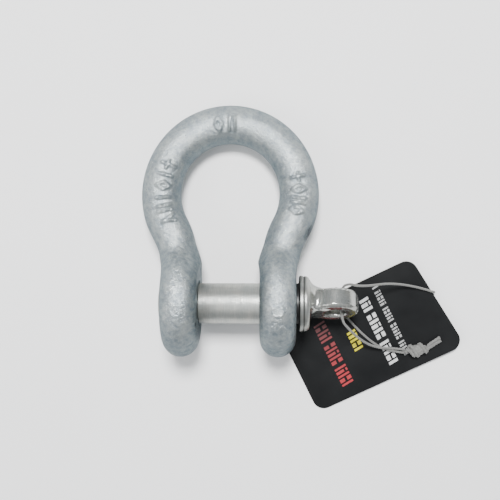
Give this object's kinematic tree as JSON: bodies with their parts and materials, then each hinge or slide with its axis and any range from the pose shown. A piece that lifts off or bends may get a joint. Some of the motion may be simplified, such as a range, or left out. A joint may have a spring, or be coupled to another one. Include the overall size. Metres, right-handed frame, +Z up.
{
  "type": "bow shackle",
  "caption": "Galvanised bow shackle with a screw pin, lying on its side, and a black hang tag tied to the eye of the pin.",
  "frame": {"origin": "on the axis of the screw pin, half way between the two ears of the bow", "axes": "+X along the pin towards its eye, +Y towards the crown of the bow, +Z up from the surface it lies on"},
  "size_m": [0.08, 0.0774, 0.0258],
  "materials": {
    "galvanised_steel": "hot-dip galvanised, satin, finely mottled",
    "zinc_plated_steel": "turned and zinc coated, satin",
    "black_card": "printed card with a semi-gloss coating",
    "white_cord": "thin twisted cord, off-white"
  },
  "bodies": {
    "shackle": {"shackle_bow": "galvanised_steel"},
    "tie": {"tie_cord": "white_cord"},
    "pin": {"screw_pin": "zinc_plated_steel"},
    "tag": {"hang_tag": "black_card", "tie_knot": "white_cord"}
  },
  "joints": [
    {"name": "pin_travel", "type": "slide", "parent": "shackle", "child": "tie", "axis": [1, 0, 0], "range_m": [-0.00075, 0.0255]},
    {"name": "pin_turn", "type": "hinge", "parent": "tie", "child": "pin", "pos_m": [0, 0, 0], "axis": [1, 0, 0], "range_deg": [-180, 6120]},
    {"name": "tag_swing", "type": "hinge", "parent": "tie", "child": "tag", "pos_m": [0.0265, 0, 0], "axis": [0, 0, 1], "range_deg": [-8, 35], "deforming": ["tie_cord"]}
  ],
  "couplings": [
    {"joint": "pin_turn", "follows": "pin_travel", "rad_per_m": 4188.8}
  ]
}
